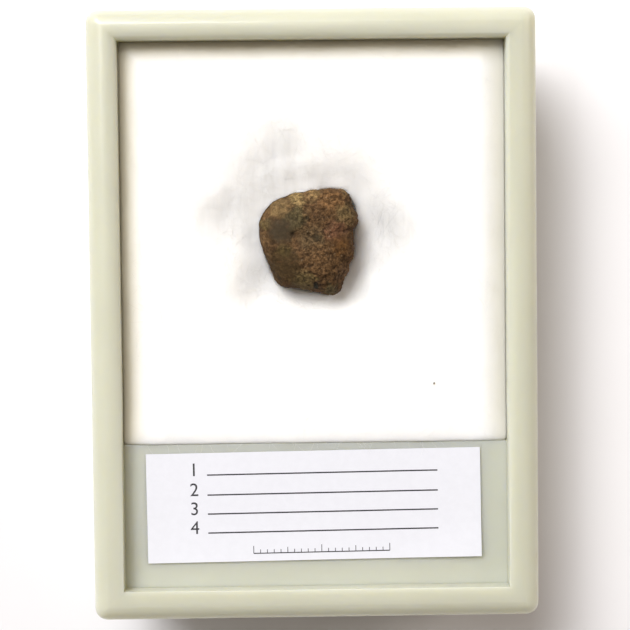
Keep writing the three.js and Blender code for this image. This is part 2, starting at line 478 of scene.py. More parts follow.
# The stone's markings, seen from above: millimetres right of and above the stone's middle, width of the
# even part, width over which it fades, colour and strength.
STONE_PATCHES = [
    # smooth lower left, the grey-brown hollow in the upper left and the greenish skin round it
    ((-3.6, -3.2), 1.6, 3.2, (0.050, 0.031, 0.013), 0.9),
    ((-3.6, -1.0), 0.4, 1.4, (0.058, 0.043, 0.015), 0.6),
    ((-2.0, 3.3), 0.8, 2.4, (0.064, 0.050, 0.024), 0.9),
    ((-1.2, 4.4), 0.5, 1.6, (0.074, 0.057, 0.025), 0.7),
    ((-5.6, 3.0), 0.3, 1.1, (0.072, 0.056, 0.026), 0.7),
    ((-3.9, 1.6), 0.9, 2.4, (0.048, 0.035, 0.020), 0.95),
    ((0.6, 0.6), 1.2, 2.6, (0.088, 0.058, 0.028), 0.7),
    ((1.2, 0.7), 0.2, 1.0, (0.042, 0.032, 0.016), 0.75),
    # ochre bevels along the upper left and the top
    ((-4.3, 5.2), 1.0, 2.2, (0.150, 0.097, 0.042), 0.95),
    ((-5.9, 4.2), 0.3, 1.2, (0.140, 0.080, 0.034), 0.8),
    ((-1.6, 6.4), 0.6, 1.7, (0.205, 0.142, 0.060), 0.9),
    ((0.8, 6.9), 0.4, 1.7, (0.195, 0.125, 0.053), 0.85),
    ((3.4, 5.8), 1.2, 2.6, (0.122, 0.064, 0.026), 0.8),
    ((5.4, 6.9), 0.3, 1.1, (0.145, 0.105, 0.045), 0.7),
    ((-6.7, 2.6), 0.3, 1.3, (0.115, 0.080, 0.032), 0.8),
    ((-6.4, 0.4), 0.3, 1.2, (0.120, 0.069, 0.030), 0.8),
    ((-6.0, -1.8), 0.3, 1.3, (0.106, 0.064, 0.030), 0.7),
    # the red and orange stains on the right, with olive skin above them
    ((4.0, 1.6), 0.9, 2.2, (0.096, 0.045, 0.024), 0.85),
    ((4.6, -0.6), 0.7, 1.9, (0.096, 0.046, 0.015), 0.8),
    ((5.4, 4.2), 0.8, 2.1, (0.106, 0.073, 0.032), 0.85),
    ((5.4, 1.5), 0.2, 0.8, (0.070, 0.038, 0.026), 0.7),
    # the tan granular field and the purple-brown chip below it
    ((1.8, -3.0), 1.8, 3.4, (0.086, 0.047, 0.020), 0.85),
    ((5.0, -4.5), 0.7, 1.5, (0.102, 0.060, 0.031), 0.95),
    # the dark, greenish lower edge
    ((-0.8, -5.6), 0.9, 2.2, (0.112, 0.082, 0.035), 0.85),
    ((0.7, -5.1), 0.3, 1.0, (0.124, 0.094, 0.038), 0.6),
    ((3.2, -6.8), 0.7, 1.5, (0.094, 0.072, 0.034), 0.9),
    ((1.2, -6.3), 0.35, 0.8, (0.028, 0.030, 0.025), 0.95),
]
# Small pits on the stone, darkened with painted shade: millimetres right and above its middle, radius and
# depth.
STONE_PITS = [
    (-2.2, 1.05, 0.34, 0.28), (-5.1, 0.05, 0.30, 0.20), (0.0, 1.1, 0.26, 0.20), (-0.05, 0.3, 0.24, 0.18),
    (1.2, 0.8, 0.66, 0.28), (-1.1, 0.75, 0.20, 0.10), (0.2, -0.2, 0.22, 0.10), (-5.9, 1.9, 0.25, 0.12),
    (-5.7, 4.1, 0.26, 0.13), (-1.9, 4.5, 0.26, 0.13), (2.4, 4.7, 0.40, 0.18), (5.4, 1.6, 0.38, 0.14),
    (3.4, -1.8, 0.26, 0.16), (1.8, -2.6, 0.22, 0.15), (2.4, -5.2, 0.28, 0.20), (2.9, -6.2, 0.36, 0.22),
    (-0.9, 5.9, 0.26, 0.12), (2.6, -0.9, 0.24, 0.12), (1.2, -6.2, 0.40, 0.16), (-4.1, 5.4, 0.30, 0.10),
]
# Places where the skin is smoother than round them: millimetres right and above, radius and how much.
STONE_CALM = [(-3.9, 1.6, 2.4, 0.9), (5.0, 0.2, 1.9, 0.5), (-3.6, -3.0, 2.4, 0.4), (1.1, 0.8, 0.8, 0.4)]
# The outline as the photograph shows it, millimetres right and above the middle, with its bulge on the
# right, the notch below the bulge and the stepped, chipped edge at the lower right.
STONE_OUTLINE = [
    (6.72, 0.1), (6.66, 1.90), (7.34, 2.6), (7.44, 3.3), (7.20, 4.2), (6.50, 5.6), (6.24, 6.45),
    (6.05, 7.0), (5.45, 7.48), (4.70, 7.72), (3.12, 7.82), (1.53, 7.65), (-0.67, 7.28), (-3.25, 6.75),
    (-4.46, 6.39), (-5.32, 5.71), (-6.54, 4.43), (-7.10, 3.63), (-7.34, 2.78), (-7.24, 1.55),
    (-7.04, 0.08), (-6.66, -1.14), (-6.18, -2.23), (-5.63, -3.46), (-5.26, -4.44), (-4.83, -5.42),
    (-4.04, -6.34), (-3.25, -6.64), (-2.64, -6.58), (-1.65, -6.64), (-0.67, -6.95), (0.55, -7.19),
    (1.90, -7.43), (2.87, -7.75), (3.73, -7.69), (4.58, -7.25), (4.83, -6.64), (5.07, -5.91),
    (5.45, -5.05), (5.93, -4.2), (6.05, -3.21), (6.66, -2.42), (6.72, -1.88),
]
OUTLINE_RAYS = sorted((math.atan2(y, x) % math.tau, math.hypot(x, y)) for x, y in STONE_OUTLINE)


def evened_reach(way):
    """The outline's distance in a direction in degrees, averaged over 20 degrees to both sides."""
    offs = range(-20, 21, 5)
    return sum(reach_at(OUTLINE_RAYS, math.radians(way + off)) for off in offs) / len(offs)


# The same outline with its bulge and notch evened out, for the hollow that the stone has pressed.
HOLLOW_RAYS = [(math.radians(way), evened_reach(way)) for way in range(0, 360, 4)]
# Marks are placed on the stone as seen from above, so heights count for only this share in a distance.
UPRIGHT_SHARE = 0.3
# The stone's top as the marks take it, in millimetres: its height over the middle, and its fall outwards.
CROWN_HEIGHT, CROWN_FALL = 3.8, 0.05


def weathered_stone(settings):
    """Old brown crust: stained patches, pale grains, painted shade in its pits and hollows, painted light
    on its knobs and a fine rough skin.
    """
    finish = Finish("weathered_stone", 0.85)
    wobble = finish.add("ShaderNodeTexNoise",
                        {"Vector": finish.place, "Scale": 1 / (1.1 * MM), "Detail": 5.0})
    shift = finish.vector("SUBTRACT", wobble.outputs["Color"], (0.5, 0.5, 0.5))
    ragged = finish.vector("ADD", finish.place, finish.vector("SCALE", shift, 2.4 * MM))
    flattened = finish.vector("MULTIPLY", ragged, (1, 1, UPRIGHT_SHARE))
    crust = tuple(settings.crust)
    cloud = finish.range(finish.noise(2.2 * MM, 5.0), 0.38, 0.62)
    base = finish.mix(cloud, scaled(crust, 0.85), scaled(crust, 1.15))
    for (x, y), even, fade, tint, strength in STONE_PATCHES:
        height = CROWN_HEIGHT - CROWN_FALL * (x * x + y * y)
        centre = STONE_MIDDLE + Vector((x, y, height)) * MM
        centre.z *= UPRIGHT_SHARE
        share = finish.near(centre, even * MM, fade * MM, flattened)
        base = finish.mix(finish.times(share, strength), base, tint)
    skin = finish.add("ShaderNodeAttribute", attribute_name="skin").outputs["Color"]
    marks = finish.add("ShaderNodeSeparateColor", {0: skin}).outputs
    raised, rough = marks["Red"], marks["Green"]
    # Painted shade in the hollows and pits between the knobs, and painted light on the knobs' tops.
    relief_shade = finish.range(raised, 0.0, 0.95, 0.66, 1.36)
    mottle = finish.range(finish.noise(0.62 * MM, 5.0, 0.6), 0.37, 0.65, 0.70, 1.42)
    fine = finish.range(finish.noise(0.24 * MM, 4.0, 0.6), 0.36, 0.66, 0.80, 1.32)
    speckled = finish.plus(finish.times(mottle, fine), -1.0)
    speckled = finish.times(speckled, finish.plus(rough, 0.22))
    tone = finish.times(relief_shade, finish.plus(1.0, speckled))
    grey = finish.add("ShaderNodeCombineColor", {0: tone, 1: tone, 2: tone}).outputs["Color"]
    base = finish.mix(1.0, base, grey, "MULTIPLY")
    grains = finish.add("ShaderNodeTexVoronoi", {"Vector": finish.place, "Scale": 1 / (0.75 * MM)})
    speck = finish.range(grains.outputs["Distance"], 0.12, 0.22, 1.0, 0.0)
    pale = finish.times(speck, finish.range(finish.noise(2.5 * MM), 0.42, 0.58))
    pale = finish.times(pale, finish.range(rough, 0.35, 0.8))
    base = finish.mix(finish.times(pale, 0.4), base, (0.26, 0.19, 0.12))
    rust = finish.range(finish.noise(0.8 * MM, 4.0, 0.6, ragged), 0.60, 0.70)
    base = finish.mix(finish.times(rust, 0.3), base, (0.13, 0.058, 0.024))
    flecks = finish.range(finish.noise(0.50 * MM, 4.0, 0.72), 0.56, 0.72)
    flecks = finish.times(flecks, finish.range(rough, 0.45, 1.0))
    base = finish.mix(finish.times(flecks, 0.55), base, (0.25, 0.160, 0.085))
    gloss = finish.range(finish.noise(0.6 * MM, 4.0), 0.3, 0.7, 0.7, 0.95)
    strength = finish.range(rough, 0.0, 1.0, 0.3, 1.0)
    coarse = finish.bump(finish.noise(0.26 * MM, 5.0, 0.62), 0.08 * MM, strength)
    sand = finish.bump(finish.noise(0.09 * MM, 3.0, 0.6), 0.02 * MM, 0.6, coarse)
    return finish.set(Base_Color=base, Roughness=gloss, Normal=sand, Specular_IOR_Level=0.12)


def stone_skin(place, settings):
    """How far the stone's skin stands out at a point in metres, how raised it is there, and how rough."""
    away = (place - STONE_MIDDLE) / MM
    rough = 0.58 + 0.42 * rising(-2.2, -0.4, away.x + 0.4 * max(0.0, away.y - 3.0))
    for x, y, radius, calm in STONE_CALM:
        rough *= 1.0 - calm * fading(0.4, 1.0, math.hypot(away.x - x, away.y - y) / radius)
    lumps = noise.fractal(place / (3.4 * MM), 1.0, 2.1, 3) * 0.15
    lumps += rough * 0.10 * noise.noise(place / (1.1 * MM))
    knobs = 0.0
    for size, share in ((settings.grain, 0.55), (settings.grain * 0.58, 0.45)):
        bent = place / size + 0.75 * noise.noise_vector(place / (1.3 * size))
        near = noise.voronoi(bent)[0][0]
        knobs += share * (1.0 - min(1.0, (near / 0.75) ** 2))
    relief = lumps + rough * 2.0 * (settings.relief / MM) * (knobs - 0.5)
    raised = 0.5 + rough * (knobs - 0.5)
    if away.z > 0:
        for x, y, radius, depth in STONE_PITS:
            off = math.hypot(away.x - x, away.y - y) / radius
            pit = math.exp(-off * off)
            relief -= depth * pit
            # a lower raised value darkens the pit with painted shade
            raised -= 2.2 * depth * pit
    return relief * MM, min(1.0, max(0.0, raised)), rough


def follow_outline(mesh):
    """Draws the stone's flanks in or out until its outline from above is the photographed one."""
    steps = 120
    rim = [0.0] * steps
    for vertex in mesh.vertices:
        x, y = vertex.co.x - STONE_MIDDLE.x, vertex.co.y - STONE_MIDDLE.y
        step = int((math.atan2(y, x) % math.tau) / math.tau * steps) % steps
        rim[step] = max(rim[step], math.hypot(x, y))
    rays = [((step + 0.5) * math.tau / steps, reach) for step, reach in enumerate(rim)]
    for vertex in mesh.vertices:
        x, y = vertex.co.x - STONE_MIDDLE.x, vertex.co.y - STONE_MIDDLE.y
        angle = math.atan2(y, x)
        now = reach_at(rays, angle)
        wanted = reach_at(OUTLINE_RAYS, angle) * MM
        share = rising(0.6, 0.98, math.hypot(x, y) / now)
        grow = 1.0 + (wanted / now - 1.0) * share
        vertex.co.x = STONE_MIDDLE.x + x * grow
        vertex.co.y = STONE_MIDDLE.y + y * grow
    mesh.update()


class SPECIMEN_OT_add_stone(bpy.types.Operator):
    """Models the meteorite from a copy of its solid"""
    bl_idname = "specimen.add_stone"
    bl_label = "Add Stone"

    def execute(self, context):
        settings = context.scene.specimen_stone
        noise.seed_set(17)
        stone = copy_of_node("meteorite", "chondrite")
        apply_modifier(stone, "SUBSURF", levels=2, render_levels=2)
        mesh = stone.data
        follow_outline(mesh)
        normals = [vertex.normal.copy() for vertex in mesh.vertices]
        marks = []
        for vertex, normal in zip(mesh.vertices, normals):
            relief, raised, rough = stone_skin(vertex.co, settings)
            vertex.co += normal * relief
            marks += (raised, rough, 0.0, 1.0)
        skin = mesh.attributes.new("skin", "FLOAT_COLOR", "POINT")
        skin.data.foreach_set("color", marks)
        mesh.update()
        bpy.ops.object.shade_smooth()
        finish_piece(stone, weathered_stone(settings), "weathered_chondrite", "meteorite")
        return {"FINISHED"}


# Painted shade and painted shadow on the wadding round the stone, grey and streaky: millimetres right and
# above the stone's middle, width of the even part, width over which it fades, and strength.
PAINTED_COTTON_SHADE = [
    (-4.3, 11.3, 0.3, 6.2, 0.62), (-3.4, 15.0, 0.2, 4.6, 0.40), (-4.6, 8.2, 0.6, 4.8, 0.64),
    (-9.0, 5.0, 0.4, 5.6, 0.64), (-13.2, 4.2, 0.2, 5.6, 0.52), (-8.8, 9.6, 0.2, 5.8, 0.44),
    (-9.0, -6.8, 0.2, 4.6, 0.46), (-8.0, -3.8, 0.2, 3.4, 0.44), (-8.2, 0.8, 0.4, 3.4, 0.56),
    (10.4, 2.8, 0.3, 5.4, 0.84), (14.0, 1.8, 0.1, 5.0, 0.50), (10.9, -1.4, 0.2, 4.6, 0.66),
    (5.8, 9.2, 0.3, 4.8, 0.36), (0.8, 9.0, 0.5, 4.6, 0.56),
    # painted shadow of the stone, widened below and to the right of it
    (8.4, -2.8, 1.0, 4.0, 1.00), (6.8, -6.8, 1.2, 4.2, 1.00), (2.2, -9.0, 0.5, 3.4, 0.70),
]
# Painted shade on the wadding along the walls: beige painted shade and bounce light on the left and at the
# top, where the rail shades it, and a wider, paler grey painted shade on the right.
WALL_SHADE_REACH, WALL_SHADE_TINT = 4.2 * MM, (0.64, 0.59, 0.43)
RIGHT_SHADE_REACH, RIGHT_SHADE_TINT = 4.0 * MM, (0.66, 0.635, 0.56)


def cotton_wool(tint, name="cotton_wool"):
    """Bleached wadding: soft, very matt, with painted shade and shadow round the stone, painted shade along
    the walls, and a faint web in its surface.
    """
    finish = Finish(name, 1.0)
    cloud = finish.range(finish.noise(5 * MM, 4.0), 0.35, 0.65)
    base = finish.mix(cloud, scaled(tint, 0.985), tint)
    stretched = finish.vector("MULTIPLY", finish.place, (1, 0.16, 1))
    streaky_shade = finish.range(finish.noise(0.9 * MM, 3.0, 0.5, stretched), 0.30, 0.70, 0.72, 1.0)
    # Painted shade and painted shadow round the stone, in grey streaks.
    for x, y, even, fade, strength in PAINTED_COTTON_SHADE:
        centre = STONE_MIDDLE + Vector((x, y, PAD_HIGH.z / MM - STONE_MIDDLE.z / MM)) * MM
        share = finish.times(finish.near(centre, even * MM, fade * MM, finish.place), strength)
        base = finish.mix(finish.times(share, streaky_shade), base, scaled(tint, 0.60))
    # Painted shade along the left and top walls, and paler painted shade along the right wall.
    axes = finish.add("ShaderNodeSeparateXYZ", {0: finish.place}).outputs
    side, end = CASE_HIGH.x - RAIL, CASE_HIGH.y - RAIL
    left = finish.range(axes["X"], -side, WALL_SHADE_REACH - side, 1.0, 0.0)
    top = finish.range(axes["Y"], end - WALL_SHADE_REACH, end)
    wall_shade = finish.number("MAXIMUM", left, top)
    base = finish.mix(finish.times(wall_shade, 0.8), base, WALL_SHADE_TINT)
    base = finish.mix(finish.range(axes["X"], side - RIGHT_SHADE_REACH, side), base, RIGHT_SHADE_TINT)
    web = finish.bump(finish.noise(0.5 * MM, 8.0, 0.72), 0.08 * MM, 0.15)
    finish.set(Subsurface_Weight=0.7, Subsurface_Radius=(1.0, 0.95, 0.85), Subsurface_Scale=2.6 * MM)
    return finish.set(Base_Color=base, Normal=web, Sheen_Weight=0.25, Specular_IOR_Level=0.15)


# Folds pressed into the wadding by the fingers that set the stone: where each lies from the stone's middle,
# the way it runs in degrees, its half length, half width and depth, in millimetres.
COTTON_FOLDS = [
    (-7.0, 10.5, 96, 5.0, 1.3, 0.20), (-4.8, 12.8, 88, 5.5, 1.1, 0.18), (-1.8, 12.0, 92, 4.6, 1.2, 0.18),
    (-11.2, 4.0, 96, 3.8, 1.5, 0.20), (-9.4, -5.6, 80, 4.0, 1.2, 0.16), (-7.6, -8.2, 84, 4.2, 1.0, 0.12),
    (10.6, 3.4, 86, 3.6, 1.5, 0.10), (11.4, 0.2, 94, 3.2, 1.4, 0.08), (3.6, -11.2, 280, 3.6, 1.1, 0.08),
]


# The dip beside the stone: the way the stone's shadow falls, and the dip's width in millimetres.
SHADOW_WAY, DIP_WIDTH = math.radians(-38), 5.0


def pad_relief(place, settings):
    """How far the pad's top stands above its solid at a point, in millimetres."""
    swell = settings.swell / MM
    relief = swell * noise.noise(place / (13 * MM)) + 0.4 * swell * noise.noise(place / (4.5 * MM))
    relief += 0.03 * noise.fractal(place / (1.3 * MM), 0.9, 2.0, 3)
    x, y = (place.x - STONE_MIDDLE.x) / MM, (place.y - STONE_MIDDLE.y) / MM
    for fold_x, fold_y, way, half_long, half_wide, depth in COTTON_FOLDS:
        turn = math.radians(way)
        dx, dy = x - fold_x, y - fold_y
        along = (dx * math.cos(turn) + dy * math.sin(turn)) / half_long
        across = (dy * math.cos(turn) - dx * math.sin(turn)) / half_wide
        relief -= depth * math.exp(-along * along - across * across)
    angle = math.atan2(y, x)
    beside = max(0.0, math.hypot(x, y) - reach_at(HOLLOW_RAYS, angle))
    shaded = 0.5 + 0.5 * math.cos(angle - SHADOW_WAY)
    return relief - settings.dip / MM * (0.10 + 0.90 * shaded) * math.exp(-(beside / DIP_WIDTH) ** 2)


# The pad's solid: radius of its upper edge, radius of its corners, and how square the corners are pressed.
PAD_EDGE, PAD_CORNER, PAD_CORNER_POWER = 2.8 * MM, 3.2 * MM, 12
# How much of the upper edge's fall is left where the pad meets a wall, and where it lies over the shelf.
WALL_FALL, SHELF_FALL = 0.10, 0.09
# How far from a wall the pad begins to fall away.
WALL_REACH = 4.4 * MM
# The gap that the pad's solid leaves to the walls, how far the pad's sides are pushed against the walls and
# the shelf, and how wide a strip of the pad moves.
PAD_CLEAR = 0.45 * MM
WALL_PUSH, SHELF_PUSH, PUSHED = 2.2 * PAD_CLEAR, 0.38 * MM, 4 * MM


def settled(place, settings, case):
    """Where a point of the pad's solid comes to lie: by the walls, in the corners, over the shelf."""
    co = place.copy()
    middle_y, half_y = (PAD_HIGH.y + PAD_LOW.y) / 2, (PAD_HIGH.y - PAD_LOW.y) / 2
    corner_x = abs(co.x) - (PAD_HIGH.x - PAD_CORNER)
    corner_y = abs(co.y - middle_y) - (half_y - PAD_CORNER)
    if corner_x > 0 and corner_y > 0:
        grow = squarer(corner_x, corner_y, PAD_CORNER_POWER) - 1.0
        co.x += math.copysign(corner_x * grow, co.x)
        co.y += math.copysign(corner_y * grow, co.y - middle_y)
    side, top, low = PAD_HIGH.x - abs(co.x), PAD_HIGH.y - co.y, co.y - PAD_LOW.y
    near_wall = fading(3.0 * MM, 5.5 * MM, min(side, top, low))
    on_shelf = fading(1.5 * MM, 5.0 * MM, low) * fading(26.5 * MM, 30 * MM, abs(co.x))
    fall = 1.0 - near_wall * (1.0 - WALL_FALL - (SHELF_FALL - WALL_FALL) * on_shelf)
    at_side = fading(0.0, WALL_REACH, side) * (0.1 + 0.9 * rising(0.0, 5 * MM, low))
    drop = settings.drop * max(at_side, 0.8 * fading(0.0, WALL_REACH, top))
    if place.z > PAD_HIGH.z - PAD_EDGE:
        co.z = PAD_HIGH.z - (PAD_HIGH.z - place.z) * fall - drop
    else:
        below = (place.z - PAD_LOW.z) / (PAD_HIGH.z - PAD_EDGE - PAD_LOW.z)
        co.z = PAD_LOW.z + below * (PAD_HIGH.z - PAD_EDGE * fall - PAD_LOW.z - drop)
    co.x += math.copysign(WALL_PUSH * fading(0.0, PUSHED, side), co.x)
    co.y += WALL_PUSH * fading(0.0, PUSHED, top) - SHELF_PUSH * fading(0.0, PUSHED, low)
    over = rising(case.shelf_top - 0.02 * MM, case.shelf_top + 0.06 * MM, co.z)
    co.y -= settings.overlap * on_shelf * fading(0.0, 2.6 * MM, low) * over
    return co


# The side of the stone that the light comes from.
LIGHT_WAY = math.radians(135)
# The gaps left between the pad and the walls and the stone, and how near the pad is drawn to the stone.
WALL_GAP, STONE_GAP, HUG_FULL, HUG_REACH = 0.03 * MM, 0.05 * MM, 0.35 * MM, 1.6 * MM


def drawn_up(place):
    """How far the rim of the stone's hollow is drawn up level with the pad, on the lit side."""
    x, y = place.x - STONE_MIDDLE.x, place.y - STONE_MIDDLE.y
    angle = math.atan2(y, x)
    beside = math.hypot(x, y) / MM - reach_at(HOLLOW_RAYS, angle)
    lit = rising(-0.2, 0.7, math.cos(angle - LIGHT_WAY))
    return lit * fading(3.5, 6.0, beside) * max(0.0, PAD_HIGH.z - 0.15 * MM - place.z)


def shape_pad(pad, stone, settings, case):
    """Slopes, lumps, folds, the hollow drawn up against the stone and the bulge over the shelf's edge."""
    skin = surface_of(stone)
    limit = Vector((CASE_HIGH.x - case.rail - WALL_GAP, CASE_HIGH.y - case.rail - WALL_GAP))
    mesh = pad.data
    for vertex in mesh.vertices:
        place = vertex.co.copy()
        top = rising(PAD_HIGH.z - 5 * MM, PAD_HIGH.z - 2 * MM, place.z)
        co = settled(place, settings, case)
        co.z += pad_relief(place, settings) * MM * top + drawn_up(place) * top
        found, facing, _, gap = skin.find_nearest(co)
        if found and (co - found).dot(facing) < 0:
            co = found + facing * STONE_GAP
        elif found and gap < HUG_REACH:
            hug = fading(HUG_FULL, HUG_REACH, gap)
            co += (found - co) * (1.0 - STONE_GAP / max(gap, STONE_GAP)) * hug
        co.x = max(-limit.x, min(limit.x, co.x))
        co.y = min(limit.y, co.y)
        vertex.co = co
    mesh.update()


def fibre_points(random_source, start, facing, span):
    """A loose fibre: a wandering line that starts and ends on the pad and lifts a little between."""
    heading = Vector((random_source.uniform(-1, 1), random_source.uniform(-1, 1), 0))
    heading = (heading - facing * heading.dot(facing)).normalized()
    turn = random_source.uniform(-0.7, 0.7)
    lift = random_source.uniform(0.02, 0.22) * MM
    steps = 6
    points = []
    place = start.copy()
    for step in range(steps):
        rise = math.sin(math.pi * step / (steps - 1)) * lift
        points.append(place + facing * (rise + 0.01 * MM))
        side = heading.cross(facing)
        heading = (heading + side * (turn / steps + random_source.uniform(-0.25, 0.25))).normalized()
        place = place + heading * (span / (steps - 1))
    return points


# The three corners of a fibre's section, in radians.
THIRDS = (0.0, 2.0944, 4.1888)
# The share of the fibres that lie close round the stone.
NEAR_STONE = 0.22


def add_fibre(shape, points, radius):
    """A thin closed thread of three sides that comes to a point at both ends."""
    rings = []
    for here, (before, after) in enumerate(zip(points[:-2], points[2:]), start=1):
        along = (after - before).normalized()
        side = along.orthogonal().normalized()
        other = along.cross(side)
        rings.append([shape.verts.new(points[here] + radius * (math.cos(a) * side + math.sin(a) * other))
                      for a in THIRDS])
    tips = (shape.verts.new(points[0]), shape.verts.new(points[-1]))
    for k in range(3):
        after = (k + 1) % 3
        shape.faces.new((tips[0], rings[0][after], rings[0][k]))
        shape.faces.new((tips[1], rings[-1][k], rings[-1][after]))
        for low, high in zip(rings[:-1], rings[1:]):
            shape.faces.new((low[k], low[after], high[after], high[k]))


def add_fibres(pad, stone, settings):
    """Loose fibres all over the pad's top, more of them round the stone."""
    source = random.Random(17)
    surface, skin = surface_of(pad), surface_of(stone)
    shape = bmesh.new()
    made = 0
    while made < settings.fibres:
        x = source.uniform(PAD_LOW.x, PAD_HIGH.x)
        y = source.uniform(PAD_LOW.y - 0.5 * MM, PAD_HIGH.y)
        if source.random() < NEAR_STONE:
            turn = source.uniform(0, 2 * math.pi)
            reach = source.uniform(6.5, 13.0) * MM
            x = STONE_MIDDLE.x + reach * math.cos(turn)
            y = STONE_MIDDLE.y + reach * math.sin(turn)
        hit, facing = cast_down(surface, x, y)
        if hit is None or hit.z < PAD_HIGH.z - 4 * MM:
            continue
        points = fibre_points(source, hit, facing, source.uniform(1.6, 5.5) * MM)
        laid = []
        for k, point in enumerate(points):
            under = cast_down(surface, point.x, point.y)[0]
            rise = point.z - hit.z if k else 0.0
            level = under.z + min(max(rise, 0.01 * MM), 0.25 * MM) if under else point.z
            laid.append(Vector((point.x, point.y, level)))
        if min(skin.find_nearest(point)[3] for point in laid) < 0.12 * MM:
            continue
        if skin.ray_cast(laid[0] - 0.02 * DOWN, DOWN)[0] is not None:
            continue
        if max(abs(point.x) for point in laid) > PAD_HIGH.x or laid[-1].y > PAD_HIGH.y:
            continue
        add_fibre(shape, laid, settings.fibre_radius * source.uniform(0.7, 1.3))
        made += 1
    mesh = bpy.data.meshes.new("cotton_fibres")
    shape.normal_update()
    shape.to_mesh(mesh)
    shape.free()
    return linked("cotton_fibres", mesh)


class SPECIMEN_OT_add_wadding(bpy.types.Operator):
    """Models the cotton pad round the stone, its loose fibres and the grain of dirt on it"""
    bl_idname = "specimen.add_wadding"
    bl_label = "Add Wadding"

    def execute(self, context):
        settings = context.scene.specimen_cotton
        stone = bpy.data.objects.get("chondrite")
        if stone is None:
            self.report({"ERROR"}, "add the stone first")
            raise RuntimeError("the wadding is shaped round the stone")
        pad = copy_of_node("cotton_pad", "cotton_wadding")
        apply_modifier(pad, "REMESH", mode="VOXEL", voxel_size=settings.voxel)
        apply_modifier(pad, "SMOOTH", factor=0.5, iterations=4)
        shape_pad(pad, stone, settings, context.scene.specimen_case)
        bpy.ops.object.shade_smooth()
        white = tuple(settings.white)
        finish_piece(pad, cotton_wool(white), "cotton", "cotton_pad")
        fibres = add_fibres(pad, stone, settings)
        finish_piece(fibres, cotton_wool(white, "cotton_fibre"), "cotton")
        add_dirt(pad)
        return {"FINISHED"}


DIRT_X, DIRT_Y, DIRT_RADIUS = 17.46 * MM, -10.25 * MM, 0.15 * MM


def add_dirt(pad):
    """One dark grain of dirt lying on the wadding, low on its right."""
    place = cast_down(surface_of(pad), DIRT_X, DIRT_Y)[0] + Vector((0, 0, 0.1 * MM))
    select_only(None)
    bpy.ops.mesh.primitive_ico_sphere_add(subdivisions=3, radius=DIRT_RADIUS, location=place)
    grain = bpy.context.object
    grain.name = "dirt_grain"
    grain.scale = (0.8, 1.15, 0.7)
    apply_place(grain)
    for vertex in grain.data.vertices:
        vertex.co += vertex.normal * (0.035 * MM * noise.noise(vertex.co / (0.12 * MM)))
    finish = Finish("dirt", 0.9)
    cloud = finish.range(finish.noise(0.1 * MM), 0.4, 0.6)
    base = finish.mix(cloud, (0.10, 0.09, 0.06), (0.22, 0.20, 0.14))
    finish_piece(grain, finish.set(Base_Color=base), "weathered_chondrite")


def label_paper(tint):
    """Smooth white paper with a faint mottle of fibre and a barely uneven surface."""
    finish = Finish("label_paper", 0.62)
    base = finish.mix(finish.range(finish.noise(1.2 * MM, 6.0, 0.7), 0.35, 0.65), scaled(tint, 0.975), tint)
    tooth = finish.bump(finish.noise(0.12 * MM, 4.0, 0.7), 0.008 * MM, 0.5)
    return finish.set(Base_Color=base, Normal=tooth)


def printed_ink(tint):
    """Printing ink, a little uneven where the paper shows through."""
    finish = Finish("printed_ink", 0.5)
    worn = finish.range(finish.noise(0.25 * MM, 5.0), 0.45, 0.75, 0.0, 0.35)
    return finish.set(Base_Color=finish.mix(worn, tint, (0.16, 0.16, 0.18)))


LABEL_SIZE = Vector((49.0, 16.1)) * MM
LABEL_MIDDLE = Vector((-0.3, -28.0)) * MM
# The label's generic ruling, in millimetres from its middle: where the rows stand, and a plain scale below.
ROW_LEVELS = [4.7, 1.75, -1.05, -3.85]
ROW_START, ROW_END = -15.6, 18.2
FIGURE_START, FIGURE_HEIGHT = ROW_START - 2.6, 1.9
SCALE_START, SCALE_LENGTH, SCALE_LEVEL = -9.0, 20, -6.9
# Thickness of the print, its gap to the paper, and the height of a figure as a share of its type size.
INK, INK_GAP, FIGURE_SHARE = 0.012 * MM, 0.002 * MM, 0.7


def label_lift(x, y, settings):
    """Height of the paper above its resting place at x, y from the label's middle."""
    u, v = 2 * x / LABEL_SIZE.x, 2 * y / LABEL_SIZE.y
    right = rising(0.55, 1.05, u) * 0.5
    low = rising(0.2, 1.1, -v) * 0.35
    corner = rising(1.2, 2.05, u - v) * 0.6
    return settings.curl * (right + low + corner) + 0.02 * MM * noise.noise(Vector((x, y, 0)) / (9 * MM))


def lay_on_shelf(piece, settings, height):
    """Bends a flat mesh with the paper, turns it with the label and lays it at a height."""
    cosine, sine = math.cos(settings.turn), math.sin(settings.turn)
    for vertex in piece.data.vertices:
        x, y, z = vertex.co
        vertex.co = (LABEL_MIDDLE.x + x * cosine - y * sine, LABEL_MIDDLE.y + x * sine + y * cosine,
                     height + z + label_lift(x, y, settings))
    piece.data.update()


def flat_sheet(x, y, wide, high, cuts, thickness):
    """A thin sheet or printed bar in metres, cut across so that it can bend."""
    bpy.ops.mesh.primitive_plane_add(size=1, location=(x, y, 0))
    sheet = bpy.context.object
    sheet.scale = (wide, high, 1)
    apply_place(sheet)
    if cuts:
        edit_all(bpy.ops.mesh.subdivide, number_cuts=cuts)
    apply_modifier(sheet, "SOLIDIFY", thickness=thickness, offset=1.0)
    return sheet


def bar(x, y, wide, high, cuts=14):
    """A printed bar, in millimetres."""
    return flat_sheet(x * MM, y * MM, wide * MM, high * MM, cuts, INK)


def figure(text, x, y):
    """A plain printed figure as a mesh, its foot at y, in millimetres."""
    bpy.ops.object.text_add(location=(x * MM, y * MM, 0))
    writing = bpy.context.object
    writing.data.body = text
    writing.data.size = FIGURE_HEIGHT / FIGURE_SHARE * MM
    writing.data.extrude = INK / 2
    bpy.ops.object.convert(target="MESH")
    writing = bpy.context.object
    apply_place(writing)
    edit_all(bpy.ops.mesh.remove_doubles, threshold=1e-7)
    return writing


